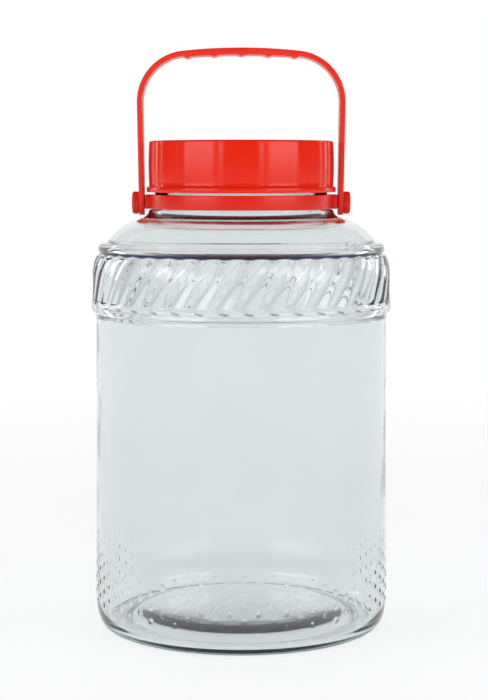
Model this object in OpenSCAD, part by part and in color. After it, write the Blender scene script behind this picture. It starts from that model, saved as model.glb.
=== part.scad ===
// Wide-mouth glass carboy with a screw cap, an inner plug and a carrying bail on a neck collar.
// Origin: centre of the bearing ring, on the surface the jar stands on. +Z is up, the pivots lie on X.

/* [Glass body] */
// Outside diameter of the plain body wall
body_d = 210; // [200:1:220]
// Height of the foot of the fluted band
band_z = 226; // [205:1:240]
// Thickness of the body wall
wall_t = 3.4; // [3:0.2:5]
// Outside radius of the ring the jar stands on
stand_r = 97; // [92:1:99]
// Height of the rounded heel
heel_h = 18; // [14:1:24]
// Height of the pushed-up middle of the base
push_up = 11; // [6:1:16]
// Thickness of the glass in the middle of the base
base_t = 6; // [5:0.5:9]

/* [Fluted band] */
// Number of slanting flutes round the band
flutes = 40; // [30:1:44]
// How far each flute leans, as turn about the axis over its length
flute_turn = 12; // [6:1:14]
// Depth of the valley between two flutes
valley_depth = 1.9; // [1:0.1:2.2]

/* [Neck] */
// Outside radius of the neck
neck_r = 62.5; // [60:0.5:63]
// Radius of the mouth
mouth_r = 57.5; // [54:0.5:58]
// Height of the rim above the foot of the neck
neck_h = 43.6; // [42:0.2:45]
// Rise of the thread in one turn
pitch = 8; // [7:0.5:9]
// Turns of thread in contact
thread_turns = 1.5; // [1:0.25:1.5]

/* [Closure] */
// Largest radius of the cap's skirt
cap_r = 67.4; // [67:0.1:68]
// Height of the cap
cap_h = 37; // [36:0.1:38]
// Number of grip flutes round the cap
cap_flutes = 40; // [24:1:48]

/* [Collar and bail] */
// Outside radius of the collar
collar_r = 66.5; // [66:0.1:67]
// Height of the collar
collar_h = 10.4; // [8:0.1:11]
// Height of the bail's crown above the pivots
bail_h = 111.8; // [100:0.2:125]
// Distance across the bail's two legs at the pivots, outside
bail_w = 147.8; // [147:0.2:152]
// Thickness of the bail's strap
strap_t = 3.8; // [3:0.1:4]
// Width of the strap at the grip
strap_w = 24; // [18:1:26]
// Bumps under the grip, between the fingers
grip_bumps = 5; // [3:1:7]

/* [Hidden] */
$fn = 96;

body_r = body_d / 2;
glass_colour = [0.80, 0.88, 0.87, 0.45];
red_plastic = [0.91, 0.16, 0.10];
foam_colour = [0.86, 0.86, 0.84];

// Points on an elliptical arc, from angle a to angle b in degrees
function arc(cx, cy, rx, ry, a, b, steps) =
    [for (i = [0:steps]) let (t = a + (b - a) * i / steps) [cx + rx * cos(t), cy + ry * sin(t)]];

// ---- Heights up the glass ----
bead_r = 2.4;                     // rounded bead at the foot of the band
bead_out = 0.8;                   // it stands this far out of the band
bead_z = band_z + 5;
band_r = body_r + 2.8;
crown_z = band_z + 26;            // the band draws in above this height
crown_in = 7;
crown_rise = 17.5;
band_top = band_z + 43;
ledge_r = body_r - 1.2;           // lip at the top of the band
lip_run = 3.2;
lip_rise = 3.9;
lip_groove = 1.2;                 // depth of the groove under the lip
dome_r = body_r - 8.5;            // the shoulder's dome begins at this radius
shoulder_z = band_z + 32;         // level of the shoulder ellipse's centre
shoulder_cx = body_r - 48.5;
shoulder_rx = 46;
shoulder_rz = 38.5;
foot_r = 67;                      // small step at the foot of the neck
foot_z = band_z + 73.9;
foot_run = 7;                     // the fillet below that step reaches this far out
rim_z = foot_z + neck_h;
rim_round = 1.2;                  // outer edge of the rim

function shoulder_at(r) = shoulder_z + shoulder_rz * sqrt(1 - pow((r - shoulder_cx) / shoulder_rx, 2));

// ---- Heights of the fittings ----
gap = 0.3;
collar_z = foot_z + gap;
pivot_z = collar_z + 4.4;
stop_bead_h = 2.1;                // glass bead that keeps the collar down, sunk in the collar's top
stop_bead_out = 2.1;
stop_bead_z = collar_z + collar_h - stop_bead_h;
cap_z = collar_z + collar_h + 1.7;
cap_top = cap_z + cap_h;
cap_top_t = 2.5;
cap_bore_r = 65;
plug_flange_t = 1.5;
liner_t = 1.4;

// ---- Glass jar ----

ring_w = 12;                      // width of the flat ring the jar stands on
inner_r = body_r - wall_t;
inner_turn = 10;                  // rounding inside, between the wall and the shoulder
inner_heel_run = 9;               // rounding inside the heel
inner_heel_rise = 14;
floor_r = 76;                     // edge of the raised floor inside

// Half section of the outside, from the middle of the base up to the outer edge of the rim
function outer_profile() = concat(
    arc(0, 0, stand_r - ring_w, push_up, 90, 0, 12),
    arc(stand_r, heel_h, body_r - stand_r, heel_h, -90, 0, 14),
    [[body_r, band_z]],
    arc(band_r + bead_out - bead_r, bead_z, bead_r, bead_z - band_z, -90, 0, 6),
    [[band_r, bead_z + 4]],
    arc(band_r - crown_in, crown_z, crown_in, crown_rise, 0, 60, 8),
    [[ledge_r - lip_groove, band_top - 0.8]],
    arc(ledge_r - lip_run, band_top + 2.4, lip_run, lip_rise, -15, 90, 6),
    [for (r = [dome_r:-3:foot_r + foot_run]) [r, shoulder_at(r)]],
    arc(foot_r + foot_run, foot_z, foot_run, foot_z - shoulder_at(foot_r + foot_run), 262, 180, 6),
    [[neck_r, foot_z],
     [neck_r, stop_bead_z]],
    arc(neck_r, stop_bead_z + stop_bead_h / 2, stop_bead_out, stop_bead_h / 2, -90, 90, 6),
    arc(neck_r - rim_round, rim_z - rim_round, rim_round, rim_round, 0, 90, 4));

// Half section of the inside, from the rim down to the middle of the floor
function inner_profile() = concat(
    [[mouth_r + 1, rim_z + 1],
     [mouth_r + 1, rim_z],
     [mouth_r, rim_z - 1],
     [mouth_r, foot_z - 4]],
    arc(shoulder_cx, shoulder_z, shoulder_rx - wall_t, shoulder_rz - wall_t, 86, 28, 9),
    arc(inner_r - inner_turn, shoulder_z - 6, inner_turn, 2 * inner_turn, 45, 0, 5),
    arc(inner_r - inner_heel_run, base_t - 1 + inner_heel_rise, inner_heel_run, inner_heel_rise, 0, -80, 10),
    arc(0, base_t, floor_r, push_up, 12, 90, 10));

// One straight valley between flutes, leaning across the band
module band_valley() {
    valley_r = 4;
    lower_z = bead_z + 1.5;
    upper_z = band_top - 1.5;
    lean = atan(body_r * flute_turn * PI / 180 / (upper_z - lower_z));
    length = (upper_z - lower_z) / cos(lean);
    translate([band_r + valley_r - valley_depth, 0, (lower_z + upper_z) / 2])
        rotate([-lean, 0, 0])
            cylinder(r = valley_r, h = length, center = true);
}

// A thread ridge that stands out of a neck, or inward out of a cap where crest_r is below root_r
module thread_ridge(root_r, crest_r, start_z, root_half, crest_half, turns) {
    step = 10;
    rings = round(turns * 360 / step);
    section = [[root_r, -root_half], [crest_r, -crest_half], [crest_r, crest_half], [root_r, root_half]];
    points = [for (i = [0:rings]) let (a = i * step, z = start_z + pitch * a / 360)
        for (p = section) [p[0] * cos(a), p[0] * sin(a), z + p[1]]];
    sides = [for (i = [0:rings - 1]) for (j = [0:3])
        let (k = (j + 1) % 4) [4 * i + j, 4 * i + k, 4 * i + 4 + k, 4 * i + 4 + j]];
    caps = [[3, 2, 1, 0], [for (j = [0:3]) 4 * rings + j]];
    inward = crest_r < root_r;
    faces = concat(sides, caps);
    polyhedron(points, inward ? [for (f = faces) [for (j = [len(f) - 1:-1:0]) f[j]]] : faces);
}

thread_z = cap_z + 8.6;

module glass_jar() {
    color(glass_colour)
        union() {
            difference() {
                rotate_extrude()
                    polygon(concat(outer_profile(), [[0, rim_z]]));
                rotate_extrude()
                    polygon(concat(inner_profile(), [[0, rim_z + 1]]));
                for (i = [0:flutes - 1])
                    rotate([0, 0, i * 360 / flutes])
                        band_valley();
            }
            thread_ridge(neck_r - 0.8, neck_r + 1.9, thread_z, 1.5, 0.8, thread_turns);
        }
}

// ---- Collar and pivots ----

pin_r = 3.5;
lug_x = bail_w / 2 - strap_t - gap;

// Ring round the neck, with a lug on each side. A rebate in its top clears the stop bead.
module neck_collar() {
    lug_w = 16;
    round_r = 0.8;
    bore = neck_r + 0.4;
    top_z = collar_z + collar_h;
    rebate_r = neck_r + stop_bead_out + gap;
    rebate_z = stop_bead_z - 0.2;
    lug_start = rebate_r + 0.4;   // the lugs start inside the ring and keep out of its rebate
    color(red_plastic)
        difference() {
            union() {
                rotate_extrude()
                    polygon(concat(
                        [[bore, collar_z]],
                        arc(collar_r - round_r, collar_z + round_r, round_r, round_r, -90, 0, 4),
                        arc(collar_r - round_r, top_z - round_r, round_r, round_r, 0, 90, 4),
                        [[rebate_r, top_z],
                         [rebate_r, rebate_z],
                         [bore, rebate_z]]));
                for (side = [-1, 1])
                    translate([side * (lug_x + lug_start) / 2, 0, collar_z + collar_h / 2])
                        cube([lug_x - lug_start, lug_w, collar_h], center = true);
            }
            rotate([0, 90, 0])
                translate([-pivot_z, 0, 0])
                    cylinder(r = pin_r, h = 2 * bail_w, center = true);
        }
}

// Headed pin on the +X side: the shank is pressed into the collar's lug
module pivot_pin() {
    head_r = 8.2;
    head_t = 5.1;
    bevel = 1;
    head_x = bail_w / 2 + gap;
    tip_x = neck_r + 0.8;
    translate([0, 0, pivot_z])
        rotate([0, 90, 0])
            rotate_extrude()
                polygon(concat(
                    [[0, tip_x],
                     [pin_r - 0.6, tip_x],
                     [pin_r, tip_x + 0.6],
                     [pin_r, head_x],
                     [head_r - 0.4, head_x],
                     [head_r, head_x + 0.4]],
                    arc(head_r - bevel, head_x + head_t - bevel - 0.4, bevel, bevel, 0, 75, 4),
                    [[0, head_x + head_t]]));
}

module pivot_pin_right() {
    color(red_plastic)
        pivot_pin();
}

module pivot_pin_left() {
    color(red_plastic)
        mirror([1, 0, 0])
            pivot_pin();
}

// ---- Bail ----

crown_r = 396;                    // gentle arch of the grip, outside
corner_r = 37;                    // outside corner between grip and leg
leg_lean = 1.3;                   // each leg stands out by this much at the corner
eye_r = 9;
bump_pitch = 19.6;                // spacing of the ridges under the grip
bump_out = 1.1;
bump_half = 2.4;
grip_swell = 1;                   // the grip is thicker than the legs by this much
grip_reach = 50;                  // as far as this from its middle
grip_steps = 32;
corner_x = bail_w / 2 + leg_lean - corner_r;
crown_cz = pivot_z + bail_h - crown_r;
corner_z = crown_cz + sqrt(pow(crown_r - corner_r, 2) - corner_x * corner_x);
corner_a = atan2(corner_z - crown_cz, corner_x);

// Height of the ridge between two fingers at s mm along the grip from its middle
function grip_ridge(s) =
    let (from_ridge = s - bump_pitch * round(s / bump_pitch))
    abs(s) > bump_pitch * grip_bumps / 2 ? 0 : bump_out * exp(-pow(from_ridge / bump_half, 2));

// Right half of the bail's outline, set in by d from the outer face: leg, corner, then grip to the middle
function bail_edge(d) = concat(
    [[bail_w / 2 - d, pivot_z - eye_r - 1],
     [bail_w / 2 - d, pivot_z]],
    arc(corner_x, corner_z, corner_r - d, corner_r - d, 0, corner_a, 10),
    [for (i = [1:grip_steps])
        let (a = corner_a + (90 - corner_a) * i / grip_steps,
            along = (90 - a) * crown_r * PI / 180,
            swell = grip_swell * (1 - pow(min(1, along / grip_reach), 4)),
            r = crown_r - d - (d > 0 ? swell + grip_ridge(along) : 0))
        [r * cos(a), crown_cz + r * sin(a)]]);

// A right half and its mirror image, from the right foot over the crown to the left foot
function whole_edge(half) = concat(half, [for (i = [len(half) - 2:-1:0]) [-half[i][0], half[i][1]]]);

module bail_front() {
    outer = whole_edge(bail_edge(0));
    inner = whole_edge(bail_edge(strap_t));
    polygon(concat(outer, [for (i = [len(inner) - 1:-1:0]) inner[i]]));
}

// The strap seen from the side: a round eye, a narrow root and the full width at the grip
module bail_side() {
    root_h = 42;
    circle(r = eye_r, $fn = 64);
    polygon([[-eye_r, 0], [eye_r, 0], [strap_w / 2 - 1.5, root_h], [strap_w / 2, bail_h - 40],
        [strap_w / 2, bail_h + 1], [-strap_w / 2, bail_h + 1], [-strap_w / 2, bail_h - 40],
        [1.5 - strap_w / 2, root_h]]);
}

module bail_handle() {
    running_fit = 0.06;
    color(red_plastic)
        difference() {
            intersection() {
                rotate([90, 0, 0])
                    linear_extrude(height = strap_w + 2, center = true)
                        bail_front();
                translate([0, 0, pivot_z])
                    rotate([90, 0, 90])
                        linear_extrude(height = bail_w + 8, center = true)
                            bail_side();
            }
            translate([0, 0, pivot_z])
                rotate([0, 90, 0])
                    cylinder(r = pin_r + running_fit, h = 2 * bail_w, center = true);
        }
}

// ---- Cap, liner and plug ----

module screw_cap() {
    flange_r = cap_r + 1.2;
    flange_h = 4;
    barrel = 0.4;                 // the skirt swells by this much at mid height
    edge = 1.2;
    flute_cut_r = 5;
    flute_depth = 0.3;
    color(red_plastic)
        union() {
            difference() {
                rotate_extrude()
                    polygon(concat(
                        [[cap_bore_r, cap_z],
                         [flange_r - 0.6, cap_z],
                         [flange_r, cap_z + 0.6],
                         [flange_r, cap_z + flange_h - 0.8],
                         [flange_r - 0.8, cap_z + flange_h]],
                        [for (i = [0:6]) [cap_r - barrel * pow(i / 3 - 1, 2),
                            cap_z + flange_h + (cap_h - flange_h - edge) * i / 6]],
                        [[cap_r - barrel - edge, cap_top],
                         [0, cap_top],
                         [0, cap_top - cap_top_t],
                         [cap_bore_r, cap_top - cap_top_t]]));
                for (i = [0:cap_flutes - 1])
                    rotate([0, 0, i * 360 / cap_flutes])
                        translate([cap_r + flute_cut_r - flute_depth, 0, cap_z + flange_h])
                            cylinder(r = flute_cut_r, h = cap_h, $fn = 48);
            }
            thread_ridge(cap_bore_r + 0.8, neck_r + 0.5, thread_z - pitch / 2, 1.5, 0.8, thread_turns);
        }
}

module cap_liner() {
    color(foam_colour)
        translate([0, 0, cap_top - cap_top_t - 0.1 - liner_t])
            cylinder(r = cap_bore_r - 1.2, h = liner_t);
}

module inner_plug() {
    depth = 13.5;
    skin = 1.8;
    plug_r = mouth_r - gap;
    flange_r = neck_r - 0.8;
    floor_z = rim_z - depth;
    seat_z = rim_z + 0.05;
    top_z = seat_z + plug_flange_t;
    slant = 3;                    // the wall draws in by this much at the floor
    tab = [16, 2, 9];
    color(red_plastic)
        union() {
            rotate_extrude()
                polygon([
                    [0, floor_z],
                    [plug_r - slant, floor_z],
                    [plug_r, floor_z + slant + 1],
                    [plug_r, seat_z],
                    [flange_r, seat_z],
                    [flange_r, top_z],
                    [plug_r - skin, top_z],
                    [plug_r - skin, floor_z + skin + slant],
                    [plug_r - skin - slant, floor_z + skin],
                    [0, floor_z + skin]]);
            translate([0, 0, floor_z + skin + tab[2] / 2 - 0.5])
                cube(tab, center = true);
        }
}

glass_jar();
neck_collar();
pivot_pin_left();
pivot_pin_right();
bail_handle();
screw_cap();
cap_liner();
inner_plug();
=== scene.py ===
import math

import bmesh
import bpy
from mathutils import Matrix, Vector


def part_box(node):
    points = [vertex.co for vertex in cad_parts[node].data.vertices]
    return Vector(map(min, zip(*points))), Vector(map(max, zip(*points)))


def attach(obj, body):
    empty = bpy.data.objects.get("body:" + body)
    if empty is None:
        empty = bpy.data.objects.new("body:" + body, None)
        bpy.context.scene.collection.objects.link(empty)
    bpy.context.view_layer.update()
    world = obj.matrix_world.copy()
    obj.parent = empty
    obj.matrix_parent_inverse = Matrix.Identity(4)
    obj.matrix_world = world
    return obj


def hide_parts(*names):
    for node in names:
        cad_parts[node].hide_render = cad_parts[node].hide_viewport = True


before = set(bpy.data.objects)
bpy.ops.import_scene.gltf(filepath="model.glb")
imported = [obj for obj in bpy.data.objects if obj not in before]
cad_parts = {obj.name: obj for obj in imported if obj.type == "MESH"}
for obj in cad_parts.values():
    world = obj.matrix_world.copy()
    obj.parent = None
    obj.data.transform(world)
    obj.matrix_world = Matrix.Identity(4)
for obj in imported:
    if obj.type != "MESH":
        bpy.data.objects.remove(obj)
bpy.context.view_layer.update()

MM = 0.001
TAU = 2 * math.pi

# ---- Sizes, in millimetres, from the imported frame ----


def node_box(node):
    """Lowest and highest corner of a CAD node, in millimetres."""
    lo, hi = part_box(node)
    return lo / MM, hi / MM


_, jar_hi = node_box("glass_jar")
collar_lo, collar_hi = node_box("neck_collar")
pin_lo, pin_hi = node_box("pivot_pin_right")
bail_lo, bail_hi = node_box("bail_handle")
cap_lo, cap_hi = node_box("screw_cap")
liner_lo, liner_hi = node_box("cap_liner")
plug_lo, plug_hi = node_box("inner_plug")

RIM_Z = jar_hi.z
NECK_H = 43.6
SHOULDER_H = 73.9
FOOT_Z = RIM_Z - NECK_H          # step where the neck stands on the shoulder
BAND_Z = FOOT_Z - SHOULDER_H     # foot of the fluted band
BEAD_R = jar_hi.x                # the lower bead is the widest ring of the glass
BODY_R = BEAD_R - 3.6
BAND_R = BEAD_R - 0.8
WALL = 3.4
STAND_R = 97.0                   # outer edge of the bearing ring
RING_W = 12.0                    # width of the bearing ring
HEEL_H = 18.0
PUSH_UP = 11.0                   # how far the base is pushed up in the middle
INNER_HEEL = (6.5, 13.5)         # run and rise of the rounding inside the heel
FLOOR_R = 76.0                   # edge of the raised floor inside
BASE_T = 6.0
NECK_R = 62.5
MOUTH_R = 57.5
STOP_BEAD = (2.1, 1.05)          # run and half height of the bead that keeps the collar down
PITCH = 8.0
TURNS = 1.5
THREAD_OUT = 1.8                 # how far the thread stands out of the neck
CAP_THREAD_IN = 1.9              # and out of the cap's bore
THREAD_Z = cap_lo.z + 8.6        # where the thread starts on the neck
PIVOT_Z = (pin_lo.z + pin_hi.z) / 2
PIN_R = 3.5
EYE_BORE_R = 3.56
FLUTES = 40

# ---- Mesh building ----


def bridge(faces, a, b):
    """Joins two rings of vertex numbers, whose counts are equal or in a whole ratio, with faces."""
    if len(a) > len(b):
        turned = []
        bridge(turned, b, a)
        faces.extend(f[::-1] for f in turned)
        return
    ratio = len(b) // len(a)
    for i in range(len(a)):
        start, end = a[i], a[(i + 1) % len(a)]
        fine = [b[(i * ratio + j) % len(b)] for j in range(ratio + 1)]
        if ratio == 1:
            faces.append((start, end, fine[1], fine[0]))
            continue
        middle = ratio // 2
        faces.extend((start, fine[j + 1], fine[j]) for j in range(middle))
        faces.append((start, end, fine[middle]))
        faces.extend((end, fine[j + 1], fine[j]) for j in range(middle, ratio))


def skin(name, rings, looped=False):
    """A closed mesh object through rings of points, given in millimetres. Its ends are closed with fans,
    or, where looped, its last ring joins its first."""
    points, faces, numbers = [], [], []
    for ring in rings:
        numbers.append(list(range(len(points), len(points) + len(ring))))
        points.extend(ring)
    for a, b in zip(numbers, numbers[1:]):
        bridge(faces, a, b)
    if looped:
        bridge(faces, numbers[-1], numbers[0])
    else:
        for ring, first in ((numbers[0], True), (numbers[-1], False)):
            middle = sum((Vector(points[i]) for i in ring), Vector()) / len(ring)
            points.append(middle)
            pairs = zip(ring, ring[1:] + ring[:1])
            faces.extend((len(points) - 1, q, p) if first else (len(points) - 1, p, q) for p, q in pairs)
    mesh = bpy.data.meshes.new(name)
    mesh.from_pydata([Vector(p) * MM for p in points], [], faces)
    finished(mesh)
    made = bpy.data.objects.new(name, mesh)
    bpy.context.scene.collection.objects.link(made)
    return made


def finished(mesh):
    """Makes the mesh's normals point outward and its faces smooth."""
    bm = bmesh.new()
    bm.from_mesh(mesh)
    bmesh.ops.recalc_face_normals(bm, faces=bm.faces)
    bm.to_mesh(mesh)
    bm.free()
    mesh.polygons.foreach_set("use_smooth", [True] * len(mesh.polygons))


def turned_ring(columns, radius, height):
    """A ring about Z. radius and height are numbers or functions of the angle."""
    ring = []
    for i in range(columns):
        angle = TAU * i / columns
        r = radius(angle) if callable(radius) else radius
        z = height(angle) if callable(height) else height
        ring.append((r * math.cos(angle), r * math.sin(angle), z))
    return ring


def arc(cx, cy, rx, ry, start, end, steps):
    """Points on an elliptical arc between two angles in degrees, both ends included."""
    angles = [math.radians(start + (end - start) * i / steps) for i in range(steps + 1)]
    return [(cx + rx * math.cos(a), cy + ry * math.sin(a)) for a in angles]


def mix(a, b, share):
    """The number a share of the way from a to b."""
    return a + (b - a) * share


def ease(share):
    """0 to 1 with level ends."""
    share = max(0.0, min(1.0, share))
    return share * share * (3 - 2 * share)


def dome(distance):
    """A round bump: 1 in the middle, 0 from distance 1 on."""
    return (1 - distance * distance) ** 2 if distance < 1 else 0.0


def carved(piece, tool, operation):
    """piece with tool cut from it or joined to it. The tool is used up."""
    cut = piece.modifiers.new("carve", "BOOLEAN")
    cut.operation = operation
    cut.solver = "EXACT"
    cut.object = tool
    graph = bpy.context.evaluated_depsgraph_get()
    result = bpy.data.meshes.new_from_object(piece.evaluated_get(graph))
    piece.modifiers.clear()
    piece.data = result
    bpy.data.objects.remove(tool)
    return piece


def softened(piece, angle=35):
    """Smooth shading that keeps edges sharper than angle."""
    bm = bmesh.new()
    bm.from_mesh(piece.data)
    for edge in bm.edges:
        edge.smooth = edge.calc_face_angle(0) < math.radians(angle)
    for face in bm.faces:
        face.smooth = True
    bm.to_mesh(piece.data)
    bm.free()
    return piece


def rounded_box(name, lo, hi, radius):
    """A box between two corners in millimetres, with rounded edges."""
    bm = bmesh.new()
    bmesh.ops.create_cube(bm, size=1)
    size, middle = Vector(hi) - Vector(lo), (Vector(hi) + Vector(lo)) / 2
    for vertex in bm.verts:
        vertex.co = Vector(c * s + m for c, s, m in zip(vertex.co, size, middle)) * MM
    bmesh.ops.bevel(bm, geom=bm.edges[:], offset=radius * MM, segments=3, profile=0.5, affect="EDGES")
    mesh = bpy.data.meshes.new(name)
    bm.to_mesh(mesh)
    bm.free()
    made = bpy.data.objects.new(name, mesh)
    bpy.context.scene.collection.objects.link(made)
    return made


def pivot_ring(radius, x, columns):
    """A ring about the bail's pivot line."""
    angles = [TAU * i / columns for i in range(columns)]
    return [(x, radius * math.cos(a), PIVOT_Z + radius * math.sin(a)) for a in angles]


def rod(name, radius, x0, x1):
    """A round bar along X at the pivots' height, to cut bores with."""
    return skin(name, [pivot_ring(radius, x, 48) for x in (x0, x1)])


# ---- Materials ----


def new_material(name):
    """(material, its nodes, its links, its Principled node) with an empty surface set up."""
    material = bpy.data.materials.new(name)
    material.use_nodes = True
    nodes, links = material.node_tree.nodes, material.node_tree.links
    return material, nodes, links, nodes["Principled BSDF"]


def noise(nodes, links, scale, detail=3.0, roughness=0.5):
    """A noise pattern on the piece's own coordinates; returns its number output."""
    place = nodes.new("ShaderNodeTexCoord")
    pattern = nodes.new("ShaderNodeTexNoise")
    pattern.inputs["Scale"].default_value = scale
    pattern.inputs["Detail"].default_value = detail
    pattern.inputs["Roughness"].default_value = roughness
    links.new(place.outputs["Object"], pattern.inputs["Vector"])
    return pattern.outputs["Fac"]


def graded(nodes, links, source, low, high, start=0.3, end=0.7):
    """source mapped to a colour between low and high."""
    ramp = nodes.new("ShaderNodeValToRGB")
    ramp.color_ramp.elements[0].position = start
    ramp.color_ramp.elements[0].color = (*low, 1)
    ramp.color_ramp.elements[1].position = end
    ramp.color_ramp.elements[1].color = (*high, 1)
    links.new(source, ramp.inputs["Fac"])
    return ramp.outputs["Color"]


def spread(nodes, links, source, low, high):
    """source, from 0 to 1, mapped to a number from low to high."""
    scale = nodes.new("ShaderNodeMapRange")
    scale.inputs["To Min"].default_value = low
    scale.inputs["To Max"].default_value = high
    links.new(source, scale.inputs["Value"])
    return scale.outputs["Result"]


def tinted(nodes, links, share, a, b, blend="MIX"):
    """Colour a turned into b by share. b is a colour output or a plain colour."""
    made = nodes.new("ShaderNodeMix")
    made.data_type = "RGBA"
    made.blend_type = blend
    links.new(share, made.inputs["Factor"])
    links.new(a, made.inputs["A"])
    if isinstance(b, tuple):
        made.inputs["B"].default_value = b
    else:
        links.new(b, made.inputs["B"])
    return made.outputs["Result"]


def bumped(nodes, links, sources):
    """A normal output from (height source, strength, distance in metres) rows, stacked."""
    normal = None
    for source, strength, distance in sources:
        bump = nodes.new("ShaderNodeBump")
        bump.inputs["Strength"].default_value = strength
        bump.inputs["Distance"].default_value = distance
        links.new(source, bump.inputs["Height"])
        if normal is not None:
            links.new(normal, bump.inputs["Normal"])
        normal = bump.outputs["Normal"]
    return normal


# painted shade colour for the glass, mixed into its tint by the mesh's mask
PAINTED_SHADE_BLUE = (0.002, 0.001, 0.02, 1)      # dark blue, almost black


def glass_material():
    """Clear moulded glass: faint grey-green tint, long soft ripples, and lamps pass through it. Painted
    shade turns its colour dark blue where the mesh's mask says, standing in for light turned away inside the
    glass."""
    material, nodes, links, shader = new_material("moulded_glass")
    ripple = noise(nodes, links, 16, detail=1.5)
    seeds = noise(nodes, links, 240, detail=1.0)
    tint = graded(nodes, links, ripple, (0.850, 0.862, 0.868), (0.874, 0.886, 0.894))
    # painted shade: the mesh's mask darkens the glass's tint to dark blue
    edge = nodes.new("ShaderNodeAttribute")
    edge.attribute_name = "painted_edge_shade"
    edged = tinted(nodes, links, edge.outputs["Fac"], tint, PAINTED_SHADE_BLUE)
    links.new(edged, shader.inputs["Base Color"])
    shader.inputs["Transmission Weight"].default_value = 1.0
    shader.inputs["Roughness"].default_value = 0.0
    shader.inputs["IOR"].default_value = 1.5
    normal = bumped(nodes, links, [(ripple, 0.25, 0.0016), (seeds, 0.03, 0.0002)])
    links.new(normal, shader.inputs["Normal"])
    body = nodes.new("ShaderNodeVolumeAbsorption")
    body.inputs["Color"].default_value = (0.45, 0.72, 0.70, 1)
    body.inputs["Density"].default_value = 11.0
    clear = nodes.new("ShaderNodeBsdfTransparent")
    clear.inputs["Color"].default_value = (0.93, 0.95, 0.95, 1)
    path = nodes.new("ShaderNodeLightPath")
    either = nodes.new("ShaderNodeMixShader")
    output = nodes["Material Output"]
    links.new(path.outputs["Is Shadow Ray"], either.inputs["Fac"])
    links.new(shader.outputs["BSDF"], either.inputs[1])
    links.new(clear.outputs["BSDF"], either.inputs[2])
    links.new(either.outputs["Shader"], output.inputs["Surface"])
    links.new(body.outputs["Volume"], output.inputs["Volume"])
    return material


def red_plastic(name, low, high, roughness):
    """Red moulded polypropylene: uneven pigment, fine mould grain and faint flow marks."""
    material, nodes, links, shader = new_material(name)
    pigment = noise(nodes, links, 22, detail=4)
    grain = noise(nodes, links, 1500, detail=2)
    flow = noise(nodes, links, 60, detail=2)
    links.new(graded(nodes, links, pigment, low, high), shader.inputs["Base Color"])
    links.new(spread(nodes, links, flow, roughness - 0.05, roughness + 0.07), shader.inputs["Roughness"])
    links.new(bumped(nodes, links, [(flow, 0.10, 0.0008), (grain, 0.10, 0.0001)]), shader.inputs["Normal"])
    shader.inputs["IOR"].default_value = 1.49
    shader.inputs["Specular IOR Level"].default_value = 0.36
    shader.inputs["Subsurface Weight"].default_value = 0.08
    shader.inputs["Subsurface Radius"].default_value = (0.004, 0.001, 0.0006)
    return material


def liner_foam():
    """Pale closed-cell foam."""
    material, nodes, links, shader = new_material("liner_foam")
    place = nodes.new("ShaderNodeTexCoord")
    cells = nodes.new("ShaderNodeTexVoronoi")
    cells.inputs["Scale"].default_value = 900
    links.new(place.outputs["Object"], cells.inputs["Vector"])
    depth = cells.outputs["Distance"]
    colour = graded(nodes, links, depth, (0.70, 0.70, 0.68), (0.84, 0.84, 0.82), 0.1, 0.6)
    links.new(colour, shader.inputs["Base Color"])
    links.new(bumped(nodes, links, [(depth, 0.5, 0.0002)]), shader.inputs["Normal"])
    shader.inputs["Roughness"].default_value = 0.75
    return material


# ---- Glass jar ----

PLAIN, BANDED, DOTTED = 240, 480, 720   # columns of the glass mesh, by how fine its surface is
DOTS = 34                               # dots in one row
DOT_ROWS = 11
DOT_PITCH = 4.85                        # from row to row, along the glass
DOT_START = 24.2                        # lowest row, along the glass from the bearing ring
DOT_TURN = math.radians(1.1)            # how far the rows are turned from the X axis
DOT_R = 1.75
DOT_H = 0.7
STIPPLES = 240
STIPPLE_H = 0.7
BEAD_UP = 5                             # middle of the lower bead above the band's foot
CROWN_UP = 26                           # from here up the band closes in
CROWN_RISE = 17.5
CROWN_IN = 7
FLUTE_TURN = math.radians(12)           # how far a flute runs round the jar on its way up
FLUTE_LOW = BAND_Z + 6.3
FLUTE_HIGH = BAND_Z + 41.4
FLUTE_H = 1.2
LIP_R = BODY_R - 1.2                    # the lip over the flutes
LIP_UP = 45.4
LIP_RUN, LIP_RISE = 3.2, 3.9
SHOULDER_CX = BODY_R - 48.5
SHOULDER_RX = 46.0
SHOULDER_RZ = 38.5
SHOULDER_Z = BAND_Z + 32
SHOULDER_FOOT_R = 97.5
NECK_STEP_R = 67.0
FILLET_RUN = 7.0
FLARE_H, FLARE_OUT = 4.5, 1.5           # the body's flare below the lower bead


def shoulder_at(r):
    """Height of the shoulder's outside at radius r."""
    return SHOULDER_Z + SHOULDER_RZ * math.sqrt(1 - ((r - SHOULDER_CX) / SHOULDER_RX) ** 2)


def dot_height(angle, along, radius):
    """Height of the raised dots at an angle round the jar and a distance up its glass."""
    row = round((along - DOT_START) / DOT_PITCH)
    if not 0 <= row < DOT_ROWS:
        return 0.0
    step = TAU / DOTS
    turn = (angle - DOT_TURN) / step + (row % 2) / 2
    across = (turn - round(turn)) * step * radius
    up = along - DOT_START - row * DOT_PITCH
    fade = 1 - ease((row - 2) / (DOT_ROWS - 3))
    return DOT_H * (0.12 + 0.88 * fade) * dome(math.hypot(across, up) / DOT_R)


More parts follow.
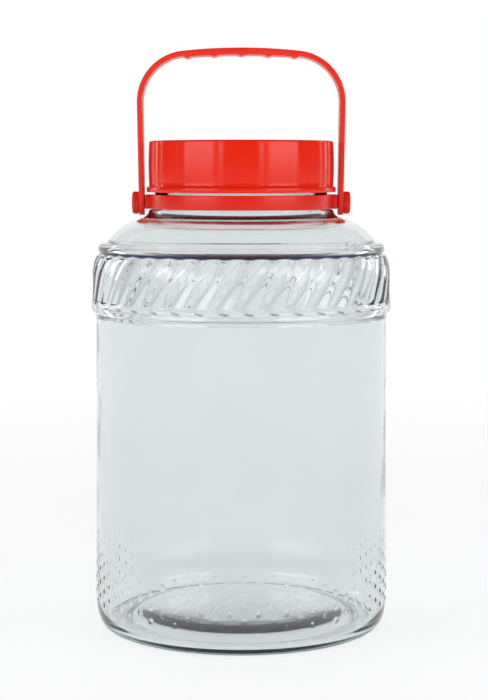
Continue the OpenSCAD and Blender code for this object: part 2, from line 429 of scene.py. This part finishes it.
def heel_rings():
    """The stippled bearing ring, the rounded heel and the dotted wall, one fine ring after another."""
    rings = []
    inner_r = STAND_R - RING_W
    for i in range(9):
        share = i / 8
        r = mix(inner_r, STAND_R, share)
        depth = STIPPLE_H * math.sin(math.pi * share)
        shift = (i % 2) / 2
        rings.append(turned_ring(DOTTED, r, lambda a, d=depth, s=shift:
                                 d * (0.5 - 0.5 * math.cos(STIPPLES * a + TAU * s))))
    step, coarse_step = 1.1, 2.2
    along, angle = 0.0, 0.0
    run = BODY_R - STAND_R
    while angle < math.pi / 2:
        slope = math.hypot(run * math.cos(angle), HEEL_H * math.sin(angle))
        stride = step if along > DOT_START - DOT_R - step else coarse_step
        angle = min(math.pi / 2, angle + stride / slope)
        along += stride
        r = STAND_R + run * math.sin(angle)
        z = HEEL_H * (1 - math.cos(angle))
        tilt = math.atan2(run * math.cos(angle), HEEL_H * math.sin(angle))
        out, down = math.cos(tilt), math.sin(tilt)
        lift = lambda a, s=along, q=r: dot_height(a, s, q)
        rings.append(turned_ring(DOTTED, lambda a, q=r, o=out, f=lift: q + o * f(a),
                                 lambda a, h=z, d=down, f=lift: h - d * f(a)))
    top = DOT_START + DOT_ROWS * DOT_PITCH
    base = along
    while along < top:
        along += step
        rings.append(turned_ring(DOTTED, lambda a, s=along: BODY_R + dot_height(a, s, BODY_R),
                                 HEEL_H + along - base))
    return rings, HEEL_H + along - base


def band_profile(z):
    """Radius of the band between its beads, before the flutes."""
    share = max(0.0, (z - BAND_Z - CROWN_UP) / CROWN_RISE)
    bead = (BEAD_R - BAND_R) * dome((z - BAND_Z - BEAD_UP) / 4)
    return BAND_R + bead - CROWN_IN * (1 - math.cos(math.asin(min(1.0, share))))


def rib(angle, z):
    """1 along the middle of a rib and 0 along the valley beside it. The ribs lean to the right."""
    turn = angle - FLUTE_TURN * (z - FLUTE_LOW) / (FLUTE_HIGH - FLUTE_LOW)
    return 0.5 - 0.5 * math.cos(turn * FLUTES)


def flute(angle, z):
    """Depth of the valleys below the band, as a negative height. They run out at scallops."""
    dip = 1 - rib(angle, z)
    return -FLUTE_H * dip * ease((z - FLUTE_LOW) / 3) * ease((FLUTE_HIGH + 0.5 - z) / 2.5)


def painted_edge_shade(point):
    """Strength of the painted shade at a point of the outside: along the lip of the band and, in short
    dashes, along the foot of the ribs, standing in for light turned away inside the glass, and faintly in
    the valleys."""
    x, y, z = point
    if math.hypot(x, y) < BODY_R - 3:
        return 0.0
    angle = math.atan2(y, x)
    wave = rib(angle, FLUTE_HIGH)
    lip = ease((BAND_Z + 44.8 - z) / 0.5) * ease((z - BAND_Z - 41.2 - 0.9 * wave) / 0.5)
    foot_z = FLUTE_LOW - 0.2 - 1.0 * rib(angle, FLUTE_LOW)
    dash = ease((1.0 - abs(z - foot_z)) / 0.5) * ease(2.4 * rib(angle + 0.03, FLUTE_LOW) - 1.2)
    inside_band = ease((z - FLUTE_LOW) / 3) * ease((FLUTE_HIGH - z) / 3)
    valley = 0.2 * (1 - rib(angle, z)) ** 3 * inside_band
    return max(lip, 0.85 * dash, valley)


def band_rings():
    """The lower bead, the flutes and the lip over them."""
    rings = []
    bead_run = 2.4
    for r, z in arc(BEAD_R - bead_run, BAND_Z + BEAD_UP, bead_run, BEAD_UP, -80, -8, 7):
        rings.append(turned_ring(BANDED, r, z))
    heights = [FLUTE_LOW - 1.6 + 0.4 * i for i in range(16)]
    heights += [mix(heights[-1], FLUTE_HIGH - 3.5, i / 18) for i in range(1, 19)]
    heights += [FLUTE_HIGH - 3.0 + 0.5 * i for i in range(7)]
    for z in heights:
        rings.append(turned_ring(BANDED, lambda a, h=z: band_profile(h) + flute(a, h), z))
    groove_r = LIP_R - 1.3
    for up in (41.9, 42.4, 42.8):
        rings.append(turned_ring(BANDED, groove_r, BAND_Z + up))
    for r, z in arc(LIP_R - LIP_RUN, BAND_Z + LIP_UP, LIP_RUN, LIP_RISE, -35, 85, 12):
        rings.append(turned_ring(BANDED, r, z))
    return rings


def thread_height(angle, z, start_z, turns):
    """1 on the crest of a screw thread, 0 away from it."""
    best = 0.0
    for turn in range(math.ceil(turns)):
        total = angle + turn * TAU
        if total > turns * TAU:
            continue
        ends = ease(total / 0.35) * ease((turns * TAU - total) / 0.35)
        off = abs(z - start_z - PITCH * total / TAU)
        best = max(best, ends * ease((1.6 - off) / 0.9))
    return best


def neck_rings():
    """The shoulder's dome, the step at the neck's foot, the stop bead, the thread and the rim."""
    rings = []
    for i in range(13):
        r = mix(SHOULDER_FOOT_R, NECK_STEP_R + FILLET_RUN, i / 12)
        rings.append(turned_ring(PLAIN, r, shoulder_at(r)))
    fillet_r = NECK_STEP_R + FILLET_RUN
    for r, z in arc(fillet_r, FOOT_Z, FILLET_RUN, FOOT_Z - shoulder_at(fillet_r), 258, 190, 6):
        rings.append(turned_ring(PLAIN, r, z))
    rings.append(turned_ring(PLAIN, NECK_STEP_R - 0.6, FOOT_Z - 0.1))
    rings.append(turned_ring(PLAIN, NECK_R + 0.6, FOOT_Z))
    stop_run, stop_rise = STOP_BEAD
    rings.append(turned_ring(PLAIN, NECK_R, FOOT_Z + 0.8))
    for r, z in arc(NECK_R, collar_hi.z - stop_rise, stop_run, stop_rise, -90, 90, 6):
        rings.append(turned_ring(PLAIN, r, z))
    steps = 30
    low, high = THREAD_Z - 3.0, THREAD_Z + PITCH * TURNS + 3.0
    for i in range(steps + 1):
        z = mix(low, high, i / steps)
        thread = lambda a, h=z: thread_height(a, h, THREAD_Z, TURNS)
        rings.append(turned_ring(PLAIN, lambda a, f=thread: NECK_R + THREAD_OUT * f(a), z))
    rim_round = 1.5
    for r, z in arc(NECK_R - rim_round, RIM_Z - rim_round, rim_round, rim_round, 0, 90, 5):
        rings.append(turned_ring(PLAIN, r, z))
    return rings


def inside_rings():
    """The inside of the glass, from the rim down to the floor."""
    rings = [turned_ring(PLAIN, r, z) for r, z in arc(MOUTH_R + 1, RIM_Z - 1, 1, 1, 90, 180, 4)]
    rings.append(turned_ring(PLAIN, MOUTH_R, FOOT_Z - 4))
    wall_r = BODY_R - WALL
    for r, z in arc(SHOULDER_CX, SHOULDER_Z, SHOULDER_RX - WALL, SHOULDER_RZ - WALL, 86, 28, 14):
        rings.append(turned_ring(PLAIN, r, z))
    turn_run, turn_rise, turn_z = 10, 20, SHOULDER_Z - 6
    for r, z in arc(wall_r - turn_run, turn_z, turn_run, turn_rise, 45, 0, 7):
        rings.append(turned_ring(PLAIN, r, z))
    heel_run, heel_rise = INNER_HEEL
    heel_z = BASE_T - 1 + heel_rise
    for share in (0.02, 0.25, 0.5, 0.75, 0.98):
        rings.append(turned_ring(PLAIN, wall_r, mix(turn_z, heel_z, share)))
    for r, z in arc(wall_r - heel_run, heel_z, heel_run, heel_rise, 0, -80, 12):
        rings.append(turned_ring(PLAIN, r, z))
    for r, z in arc(0, BASE_T, FLOOR_R, PUSH_UP, 12, 84, 12):
        rings.append(turned_ring(PLAIN, r, z))
    return rings


def glass_jar():
    """The whole jar as one skin, from the middle of its base up the outside and down the inside."""
    rings = [turned_ring(PLAIN, r, z) for r, z in arc(0, 0, STAND_R - RING_W, PUSH_UP, 84, 4, 12)]
    fine, dots_top = heel_rings()
    rings += fine
    for share in (0.06, 0.25, 0.5, 0.75, 0.97, 1.0):
        rings.append(turned_ring(PLAIN, BODY_R, mix(dots_top, BAND_Z - FLARE_H, share)))
    for share in (0.2, 0.4, 0.6, 0.8, 1.0):
        rings.append(turned_ring(PLAIN, BODY_R + FLARE_OUT * share ** 2, BAND_Z - FLARE_H * (1 - share)))
    rings += band_rings()
    rings += neck_rings()
    rings += inside_rings()
    jar = skin("jar_glass", rings)
    # paints shade into the glass: a per-vertex mask along the band's lip, rib feet and valleys
    shade = jar.data.attributes.new("painted_edge_shade", "FLOAT", "POINT")
    for vertex, value in zip(jar.data.vertices, shade.data):
        value.value = painted_edge_shade(vertex.co / MM)
    jar.data.materials.append(glass_material())
    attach(jar, "jar")
    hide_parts("glass_jar")
    return jar


# ---- Collar, pins and bail ----


def neck_collar():
    """The ring round the neck, with a rebate for the stop bead, and a bored lug on each side."""
    round_r = 0.8
    inner_r = NECK_R + 0.4
    rebate_r = NECK_R + 2.4
    outer_r = collar_hi.y
    low, high = collar_lo.z, collar_hi.z
    lug_start, lug_half = rebate_r + 0.4, 8
    section = (arc(inner_r + 0.5, low + 0.5, 0.5, 0.5, 180, 270, 3)
               + arc(outer_r - round_r, low + round_r, round_r, round_r, -90, 0, 5)
               + arc(outer_r - round_r, high - round_r, round_r, round_r, 0, 90, 5)
               + [(rebate_r, high - 0.2), (rebate_r, high - 2.2), (inner_r, high - 2.3)])
    collar = skin("collar_ring", [turned_ring(PLAIN, r, z) for r, z in section], looped=True)
    for side, name in ((-1, "left"), (1, "right")):
        ends = sorted((side * lug_start, side * collar_hi.x))
        lug = rounded_box("lug_" + name, (ends[0], -lug_half, low), (ends[1], lug_half, high), 0.9)
        carved(collar, lug, "UNION")
    carved(collar, rod("bore", PIN_R, collar_lo.x - 5, collar_hi.x + 5), "DIFFERENCE")
    softened(collar)
    collar.data.materials.append(red_plastic("collar_red", (0.80, 0.013, 0.002), (0.90, 0.020, 0.003), 0.30))
    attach(collar, "collar")
    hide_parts("neck_collar")


def pivot_pin(side, name, node):
    """A headed pin: domed head with a rolled edge and a shallow ring on its face, and a plain shank."""
    head_r, shank_r = (pin_hi.z - pin_lo.z) / 2, PIN_R
    tip, face = pin_lo.x, pin_hi.x
    seat = bail_hi_at_pivot + 0.3
    outline = [(shank_r - 0.7, tip), (shank_r, tip + 0.7), (shank_r, seat - 0.01), (shank_r + 0.2, seat),
               (head_r - 0.5, seat), (head_r - 0.1, seat + 0.3)]
    outline += arc(head_r - 1.6, face - 2.0, 1.6, 1.75, -10, 78, 6)
    outline += [(head_r - 2.6, face - 0.14), (head_r - 3.0, face - 0.30), (head_r - 3.4, face - 0.14),
                (2.5, face)]
    pin = skin(name, [pivot_ring(r, side * x, 64) for r, x in outline])
    softened(pin, 50)
    pin.data.materials.append(red_plastic(name + "_red", (0.82, 0.014, 0.003), (0.90, 0.022, 0.004), 0.32))
    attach(pin, "collar")
    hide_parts(node)


STRAP = 3.8                      # thickness of the bail's legs
GRIP_SWELL = 1.0                 # the grip is thicker than the legs by this much
GRIP_REACH = 50.0                # as far as this from its middle
EYE_R = 9.0
LEG_LEAN = 1.3                   # how far a leg leans out from its eye to its top
LEG_TAPER_H = 42                 # from the eye up to here a leg widens fast, and then slowly
CORNER_R = 37.0
CROWN_R = 396.0                  # the grip's long arc
RIDGE_PITCH = 19.6
RIDGE_OUT = 1.1
RIDGE_HALF = 2.4
RIDGES = 5
bail_hi_at_pivot = bail_hi.x - LEG_LEAN      # outer face of a leg at the pivots
bail_top = bail_hi.z


def ridge(s):
    """Height of the ridge between two fingers, s mm along the grip from its middle."""
    if abs(s) > RIDGE_PITCH * RIDGES / 2:
        return 0.0
    return RIDGE_OUT * math.exp(-((s - RIDGE_PITCH * round(s / RIDGE_PITCH)) / RIDGE_HALF) ** 2)


def strap_half_width(height):
    """Half of the strap's width at a height above the pivots."""
    grip = bail_hi.y
    leg = grip - 1.5
    if height < 0:
        return math.sqrt(max(0.0, EYE_R ** 2 - height ** 2))
    if height < LEG_TAPER_H:
        return mix(EYE_R, leg, height / LEG_TAPER_H)
    return mix(leg, grip, min(1.0, (height - LEG_TAPER_H) / 30))


def strap_path():
    """Stations along the bail's outer face from the right eye to the left one: point, outward direction and
    thickness of the strap there."""
    corner_x = bail_hi.x - CORNER_R
    crown_cz = bail_top - CROWN_R
    corner_z = crown_cz + math.sqrt((CROWN_R - CORNER_R) ** 2 - corner_x ** 2)
    corner_end = math.atan2(corner_z - crown_cz, corner_x)
    half = []
    for i in range(9):
        drop = EYE_R * math.cos(math.radians(8 + 82 * i / 8))
        half.append((bail_hi_at_pivot, PIVOT_Z - drop, 1.0, 0.0, STRAP))
    leg_steps = 14
    for i in range(1, leg_steps + 1):
        x, z = mix(bail_hi_at_pivot, bail_hi.x, i / leg_steps), mix(PIVOT_Z, corner_z, i / leg_steps)
        half.append((x, z, 1.0, 0.0, STRAP))
    for i in range(1, 19):
        a = corner_end * i / 18
        nx, nz = math.cos(a), math.sin(a)
        half.append((corner_x + CORNER_R * nx, corner_z + CORNER_R * nz, nx, nz, STRAP))
    crown_steps = 72
    for i in range(1, crown_steps + 1):
        a = mix(corner_end, math.pi / 2, i / crown_steps)
        along = (math.pi / 2 - a) * CROWN_R
        thick = STRAP + GRIP_SWELL * (1 - min(1.0, along / GRIP_REACH) ** 4) + ridge(along)
        nx, nz = math.cos(a), math.sin(a)
        half.append((CROWN_R * nx, crown_cz + CROWN_R * nz, nx, nz, thick))
    return half + [(-x, z, -nx, nz, thick) for x, z, nx, nz, thick in half[-2::-1]]


def strap_section(width, thick):
    """A rounded rectangle as (depth below the outer face, place across) points."""
    round_r = min(0.8, width * 0.45)
    corners = ((round_r, width - round_r, 180, 90), (thick - round_r, width - round_r, 90, 0),
               (thick - round_r, round_r - width, 0, -90), (round_r, round_r - width, -90, -180))
    points = []
    for depth, across, start, end in corners:
        points += arc(depth, across, round_r, round_r, start, end, 4)
    return points


def bail_handle():
    """The strap from eye to eye, bored for the pins."""
    rings = []
    for x, z, nx, nz, thick in strap_path():
        section = strap_section(strap_half_width(z - PIVOT_Z), thick)
        rings.append([(x - nx * depth, across, z - nz * depth) for depth, across in section])
    bail = skin("bail", rings)
    carved(bail, rod("eye_bore", EYE_BORE_R, bail_lo.x - 5, bail_hi.x + 5), "DIFFERENCE")
    softened(bail, 40)
    bail.data.materials.append(red_plastic("bail_red", (0.90, 0.020, 0.007), (0.97, 0.032, 0.012), 0.32))
    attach(bail, "bail")
    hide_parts("bail_handle")


# ---- Cap, liner and plug ----

CAP_FLUTES = 40
CAP_FLUTE_DEPTH = 0.22
CAP_BORE = 65.0
CAP_EDGE = 1.4                   # rounding of the top's edge
CAP_TOP_T = 2.5


def cap_rings():
    """The cap from the middle of its top down the fluted skirt, round the flange and up its bore."""
    top, low = cap_hi.z, cap_lo.z
    flange_r = cap_hi.x
    flange_h = 4.0
    skirt_r = flange_r - 1.2
    barrel = 0.4
    panel_r = skirt_r - 9

    def scallop(angle, depth):
        """The flutes' hollow at an angle, as a negative height."""
        return depth * (abs(math.cos(CAP_FLUTES * angle / 2)) ** 1.6 - 1)

    rings = [turned_ring(PLAIN, r, z) for r, z in
             [(6, top - 0.5), (30, top - 0.5), (panel_r - 1.5, top - 0.5), (panel_r - 0.5, top - 0.3),
              (panel_r + 0.5, top - 0.05), (panel_r + 2, top)]]
    edge_r = skirt_r - barrel
    for r, z in arc(edge_r - CAP_EDGE, top - CAP_EDGE, CAP_EDGE, CAP_EDGE, 90, 15, 5):
        share = (r - edge_r + CAP_EDGE) / CAP_EDGE
        rings.append(turned_ring(BANDED, lambda a, q=r, s=share: q + scallop(a, CAP_FLUTE_DEPTH * s), z))
    steps = 12
    for i in range(steps + 1):
        share = i / steps
        z = mix(top - CAP_EDGE, low + flange_h + 0.6, share)
        r = skirt_r - barrel * (2 * share - 1) ** 2
        rings.append(turned_ring(BANDED, lambda a, q=r: q + scallop(a, CAP_FLUTE_DEPTH), z))
    foot_r = skirt_r - barrel + 0.25
    rings.append(turned_ring(BANDED, lambda a: foot_r + scallop(a, 0.1), low + flange_h + 0.1))
    for r, z in arc(flange_r - 1.0, low + flange_h - 1.0, 1.0, 1.0, 80, 0, 4):
        rings.append(turned_ring(BANDED, r, z))
    for r, z in arc(flange_r - 0.6, low + 0.6, 0.6, 0.6, 0, -90, 3):
        rings.append(turned_ring(PLAIN, r, z))
    rings.append(turned_ring(PLAIN, CAP_BORE + 0.4, low))
    rings.append(turned_ring(PLAIN, CAP_BORE, low + 0.4))
    start = THREAD_Z - PITCH / 2
    thread_steps = 26
    for i in range(thread_steps + 1):
        z = mix(start - 2.2, start + PITCH * TURNS + 2.4, i / thread_steps)
        thread = lambda a, h=z: thread_height(a, h, start, TURNS)
        rings.append(turned_ring(PLAIN, lambda a, f=thread: CAP_BORE - CAP_THREAD_IN * f(a), z))
    under = top - CAP_TOP_T
    for r, z in arc(CAP_BORE - 1, under - 1, 1, 1, 0, 90, 3) + [(50, under), (20, under)]:
        rings.append(turned_ring(PLAIN, r, z))
    return rings


def screw_cap():
    """The red cap."""
    cap = skin("cap", cap_rings())
    softened(cap, 40)
    cap.data.materials.append(red_plastic("cap_red", (0.84, 0.015, 0.001), (0.92, 0.022, 0.002), 0.20))
    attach(cap, "cap")
    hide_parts("screw_cap")


def cap_liner():
    """A flat disc whose rim stands a little below its middle."""
    radius = liner_hi.x
    low, high = liner_lo.z, liner_hi.z
    outline = [(20, low + 0.15), (48, low + 0.15), (50, low), (radius - 0.4, low), (radius, low + 0.4),
               (radius, high - 0.3), (radius - 0.3, high), (30, high)]
    liner = skin("liner", [turned_ring(120, r, z) for r, z in outline])
    softened(liner, 40)
    liner.data.materials.append(liner_foam())
    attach(liner, "liner")
    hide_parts("cap_liner")


def inner_plug():
    """A dished plug with a flange on the rim, two soft ribs round its wall and a pull tab in the dish."""
    flange_r, top = plug_hi.x, plug_hi.z
    floor, wall_r, skin_t = plug_lo.z, MOUTH_R - 0.3, 1.8
    seat = RIM_Z + 0.05
    outline = [(wall_r - 8, floor)] + arc(wall_r - 4, floor + 4, 3.6, 4, -90, 0, 5)
    for rib_z in (floor + 6.5, floor + 10):
        outline += [(wall_r - 0.4, rib_z - 1), (wall_r, rib_z), (wall_r - 0.4, rib_z + 1)]
    outline += [(wall_r - 0.4, seat - 0.2), (wall_r, seat)]
    outline += arc(flange_r - 0.7, seat + 0.75, 0.7, 0.75, -90, 90, 6)
    dish_r = wall_r - skin_t
    outline += arc(dish_r + 0.7, top - 0.7, 0.7, 0.7, 90, 180, 3)
    outline += arc(dish_r - 3.5, floor + skin_t + 3.5, 3.5, 3.5, 0, -90, 5) + [(18, floor + skin_t)]
    plug = skin("plug", [turned_ring(PLAIN, r, z) for r, z in outline])
    tab = rounded_box("tab", (-8, -1, floor + skin_t - 0.5), (8, 1, floor + skin_t + 8.5), 0.9)
    carved(plug, tab, "UNION")
    softened(plug, 40)
    plug.data.materials.append(red_plastic("plug_red", (0.66, 0.008, 0.005), (0.76, 0.014, 0.008), 0.42))
    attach(plug, "plug")
    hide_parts("inner_plug")


# ---- Studio ----

CAMERA_DISTANCE = 1.293
CAMERA_HEIGHT = 0.3288
CAMERA_PITCH = math.radians(1.31)
LENS = 91.5                      # for a 36 mm frame height
SHIFT_UP = -0.2                  # of the frame's height
SHIFT_SIDE = 0.0040
SURROUND = 1.00                  # brightness of the white surroundings
FILL = 0.42                      # brightness of the surroundings as a light on rough surfaces
FLOOR_GLOW = 0.50                # the part of the floor's brightness that no shadow takes away


def camera():
    """The camera that sees the jar from the front."""
    data = bpy.data.cameras.new("camera")
    data.sensor_width = 36
    data.lens = LENS
    data.shift_x, data.shift_y = SHIFT_SIDE, SHIFT_UP
    data.clip_start, data.clip_end = 0.05, 50
    made = bpy.data.objects.new("camera", data)
    made.location = (0, -CAMERA_DISTANCE, CAMERA_HEIGHT)
    made.rotation_euler = (math.pi / 2 - CAMERA_PITCH, 0, 0)
    bpy.context.scene.collection.objects.link(made)
    bpy.context.scene.camera = made


def studio_floor():
    """A white paper floor that turns into the even backdrop with distance."""
    bpy.ops.mesh.primitive_grid_add(x_subdivisions=24, y_subdivisions=24, size=16, location=(0, 0, 0))
    floor = bpy.context.object
    floor.name = "floor"
    material, nodes, links, shader = new_material("paper_floor")
    fibre = noise(nodes, links, 300, detail=3)
    paper = graded(nodes, links, fibre, (0.78, 0.78, 0.78), (0.82, 0.82, 0.82))
    links.new(paper, shader.inputs["Base Color"])
    shader.inputs["Roughness"].default_value = 0.9
    shader.inputs["Specular IOR Level"].default_value = 0.1
    shader.inputs["Emission Color"].default_value = (1, 1, 1, 1)
    shader.inputs["Emission Strength"].default_value = FLOOR_GLOW
    place = nodes.new("ShaderNodeTexCoord")
    reach = nodes.new("ShaderNodeVectorMath")
    reach.operation = "LENGTH"
    links.new(place.outputs["Object"], reach.inputs[0])
    far = nodes.new("ShaderNodeMapRange")
    far.interpolation_type = "SMOOTHSTEP"
    far.inputs["From Min"].default_value, far.inputs["From Max"].default_value = 0.25, 1.4
    links.new(reach.outputs["Value"], far.inputs["Value"])
    backdrop = nodes.new("ShaderNodeEmission")
    backdrop.inputs["Strength"].default_value = SURROUND
    faded = nodes.new("ShaderNodeMixShader")
    links.new(far.outputs["Result"], faded.inputs["Fac"])
    links.new(shader.outputs["BSDF"], faded.inputs[1])
    links.new(backdrop.outputs["Emission"], faded.inputs[2])
    links.new(faded.outputs["Shader"], nodes["Material Output"].inputs["Surface"])
    floor.data.materials.append(material)


def softbox(name, azimuth, distance, foot, size, radiance):
    """An upright rectangular lamp facing the jar's axis, its lower edge at height foot. Azimuth 0 is the
    camera's side and 90 is the jar's right."""
    a = math.radians(azimuth)
    data = bpy.data.lights.new(name, "AREA")
    data.shape = "RECTANGLE"
    data.size, data.size_y = size
    data.energy = radiance * math.pi * size[0] * size[1]
    lamp = bpy.data.objects.new(name, data)
    lamp.location = (distance * math.sin(a), -distance * math.cos(a), foot + size[1] / 2)
    lamp.rotation_euler = (math.pi / 2, 0, a)
    bpy.context.scene.collection.objects.link(lamp)
    return lamp


def difference(nodes, links, a, b):
    """a less b, kept from 0 to 1."""
    made = nodes.new("ShaderNodeMath")
    made.operation = "SUBTRACT"
    made.use_clamp = True
    links.new(a, made.inputs[0])
    links.new(b, made.inputs[1])
    return made.outputs["Value"]


def studio_world():
    """White surroundings under a grey ceiling. Rough surfaces are lit evenly by it and mirror it only dimly,
    but for the bright backdrop behind the jar."""
    world = bpy.data.worlds.new("studio")
    bpy.context.scene.world = world
    world.use_nodes = True
    world.cycles.sampling_method = "NONE"
    nodes, links = world.node_tree.nodes, world.node_tree.links
    place = nodes.new("ShaderNodeTexCoord")
    split = nodes.new("ShaderNodeSeparateXYZ")
    links.new(place.outputs["Generated"], split.inputs["Vector"])
    path = nodes.new("ShaderNodeLightPath")
    around = graded(nodes, links, split.outputs["Z"], (1.0, 1.0, 1.0), (0.70, 0.73, 0.75), 0.6, 0.9)
    evened = tinted(nodes, links, path.outputs["Is Diffuse Ray"], around, (FILL, FILL, FILL, 1))
    mirror, exact = path.outputs["Is Glossy Ray"], path.outputs["Is Singular Ray"]
    rough = difference(nodes, links, mirror, exact)
    behind = graded(nodes, links, split.outputs["Y"], (0.04, 0.04, 0.04), (1.0, 1.0, 1.0), 0.90, 0.97)
    dimmed = tinted(nodes, links, rough, evened, behind, "MULTIPLY")
    backdrop = nodes["Background"]
    links.new(dimmed, backdrop.inputs["Color"])
    backdrop.inputs["Strength"].default_value = SURROUND


def lights():
    """Surroundings, a wide and a thin low softbox on each side in front, and a rim light on each side."""
    studio_world()
    for side in (-1, 1):
        softbox(f"front_{side}", side * 50, 1.6, 0.335, (1.3, 0.45), 3.3)
        softbox(f"front_low_{side}", side * 50, 1.6, 0.315, (1.3, 0.016), 3.3)
        softbox(f"rim_{side}", side * 127, 1.6, 0.30, (0.2, 0.8), 3.5)


bpy.context.scene.view_settings.view_transform = "Standard"
camera()
glass_jar()
neck_collar()
pivot_pin(-1, "pin_left", "pivot_pin_left")
pivot_pin(1, "pin_right", "pivot_pin_right")
bail_handle()
screw_cap()
cap_liner()
inner_plug()
studio_floor()
lights()
